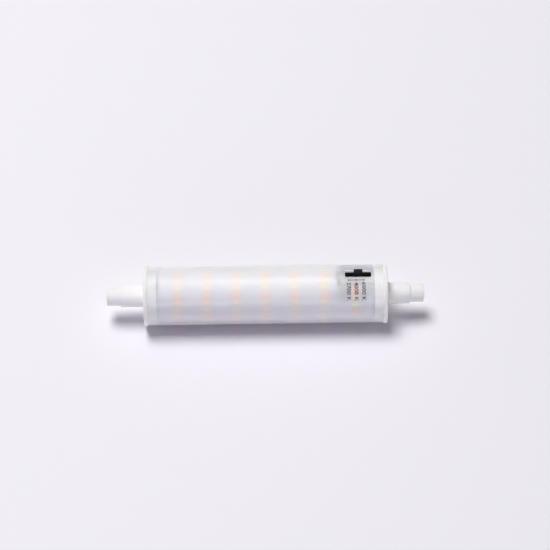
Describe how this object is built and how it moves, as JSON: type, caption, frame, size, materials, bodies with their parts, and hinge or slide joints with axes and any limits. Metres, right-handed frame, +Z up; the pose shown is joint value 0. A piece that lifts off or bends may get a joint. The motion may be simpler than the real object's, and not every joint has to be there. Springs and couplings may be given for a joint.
{
  "type": "linear led bulb",
  "caption": "Double-ended linear LED lamp: a milky tube over a rolled LED board, stepped end caps with recessed contacts and a slide switch for the light's colour.",
  "frame": {"origin": "the middle of the lamp, on its axis", "axes": "+X along the lamp, towards the end with the switch; +Z up, the way the switch faces"},
  "size_m": [0.1176, 0.0222, 0.0233],
  "materials": {
    "milky_plastic": "milky polycarbonate, extruded and glossy",
    "cap_plastic": "white PBT, moulded, satin",
    "nickel": "nickel-plated brass",
    "board_white": "white solder mask on thin aluminium",
    "led_white": "white moulded LED package",
    "warm_phosphor": "orange phosphor in silicone",
    "neutral_phosphor": "amber phosphor in silicone",
    "cool_phosphor": "greenish yellow phosphor in silicone",
    "board_green": "green solder mask on glass-fibre laminate",
    "black_epoxy": "black moulding epoxy",
    "resistor_coat": "green flameproof coating on a ceramic rod",
    "varistor_coat": "blue epoxy dip on a ceramic disc",
    "film_case": "yellow moulded case",
    "can_sleeve": "black shrink sleeve on an aluminium can",
    "ferrite": "sintered ferrite",
    "copper": "enamelled copper wire, wound",
    "chip_ceramic": "ceramic chip",
    "tin": "tinned copper",
    "lead_white": "white wire insulation",
    "switch_black": "black nylon, moulded",
    "switch_phenolic": "brown phenolic sheet",
    "spring_bronze": "phosphor bronze strip"
  },
  "bodies": {
    "lamp": {"diffuser_tube": "milky_plastic", "left_end_cap": "cap_plastic", "right_end_cap": "cap_plastic", "left_contact": "nickel", "right_contact": "nickel", "led_board": "board_white", "led_packages": "led_white", "warm_phosphor": "warm_phosphor", "neutral_phosphor": "neutral_phosphor", "cool_phosphor": "cool_phosphor", "driver_board": "board_green", "fusible_resistor": "resistor_coat", "varistor": "varistor_coat", "film_capacitor": "film_case", "bulk_capacitor": "can_sleeve", "output_capacitor": "can_sleeve", "choke_core": "ferrite", "choke_winding": "copper", "bridge_rectifier": "black_epoxy", "driver_chip": "black_epoxy", "freewheel_diode": "black_epoxy", "chip_legs": "tin", "chip_resistors": "chip_ceramic", "chip_capacitors": "chip_ceramic", "component_leads": "tin", "led_board_links": "tin", "left_lead": "lead_white", "right_lead": "lead_white", "lead_conductors": "tin", "switch_housing": "switch_black", "switch_base": "switch_phenolic", "switch_terminals": "tin"},
    "slider": {"switch_slider": "switch_black", "switch_wiper": "spring_bronze"}
  },
  "joints": [
    {"name": "switch_slide", "type": "slide", "parent": "lamp", "child": "slider", "axis": [1, 0, 0], "range_m": [-0.003, 0.003]}
  ]
}
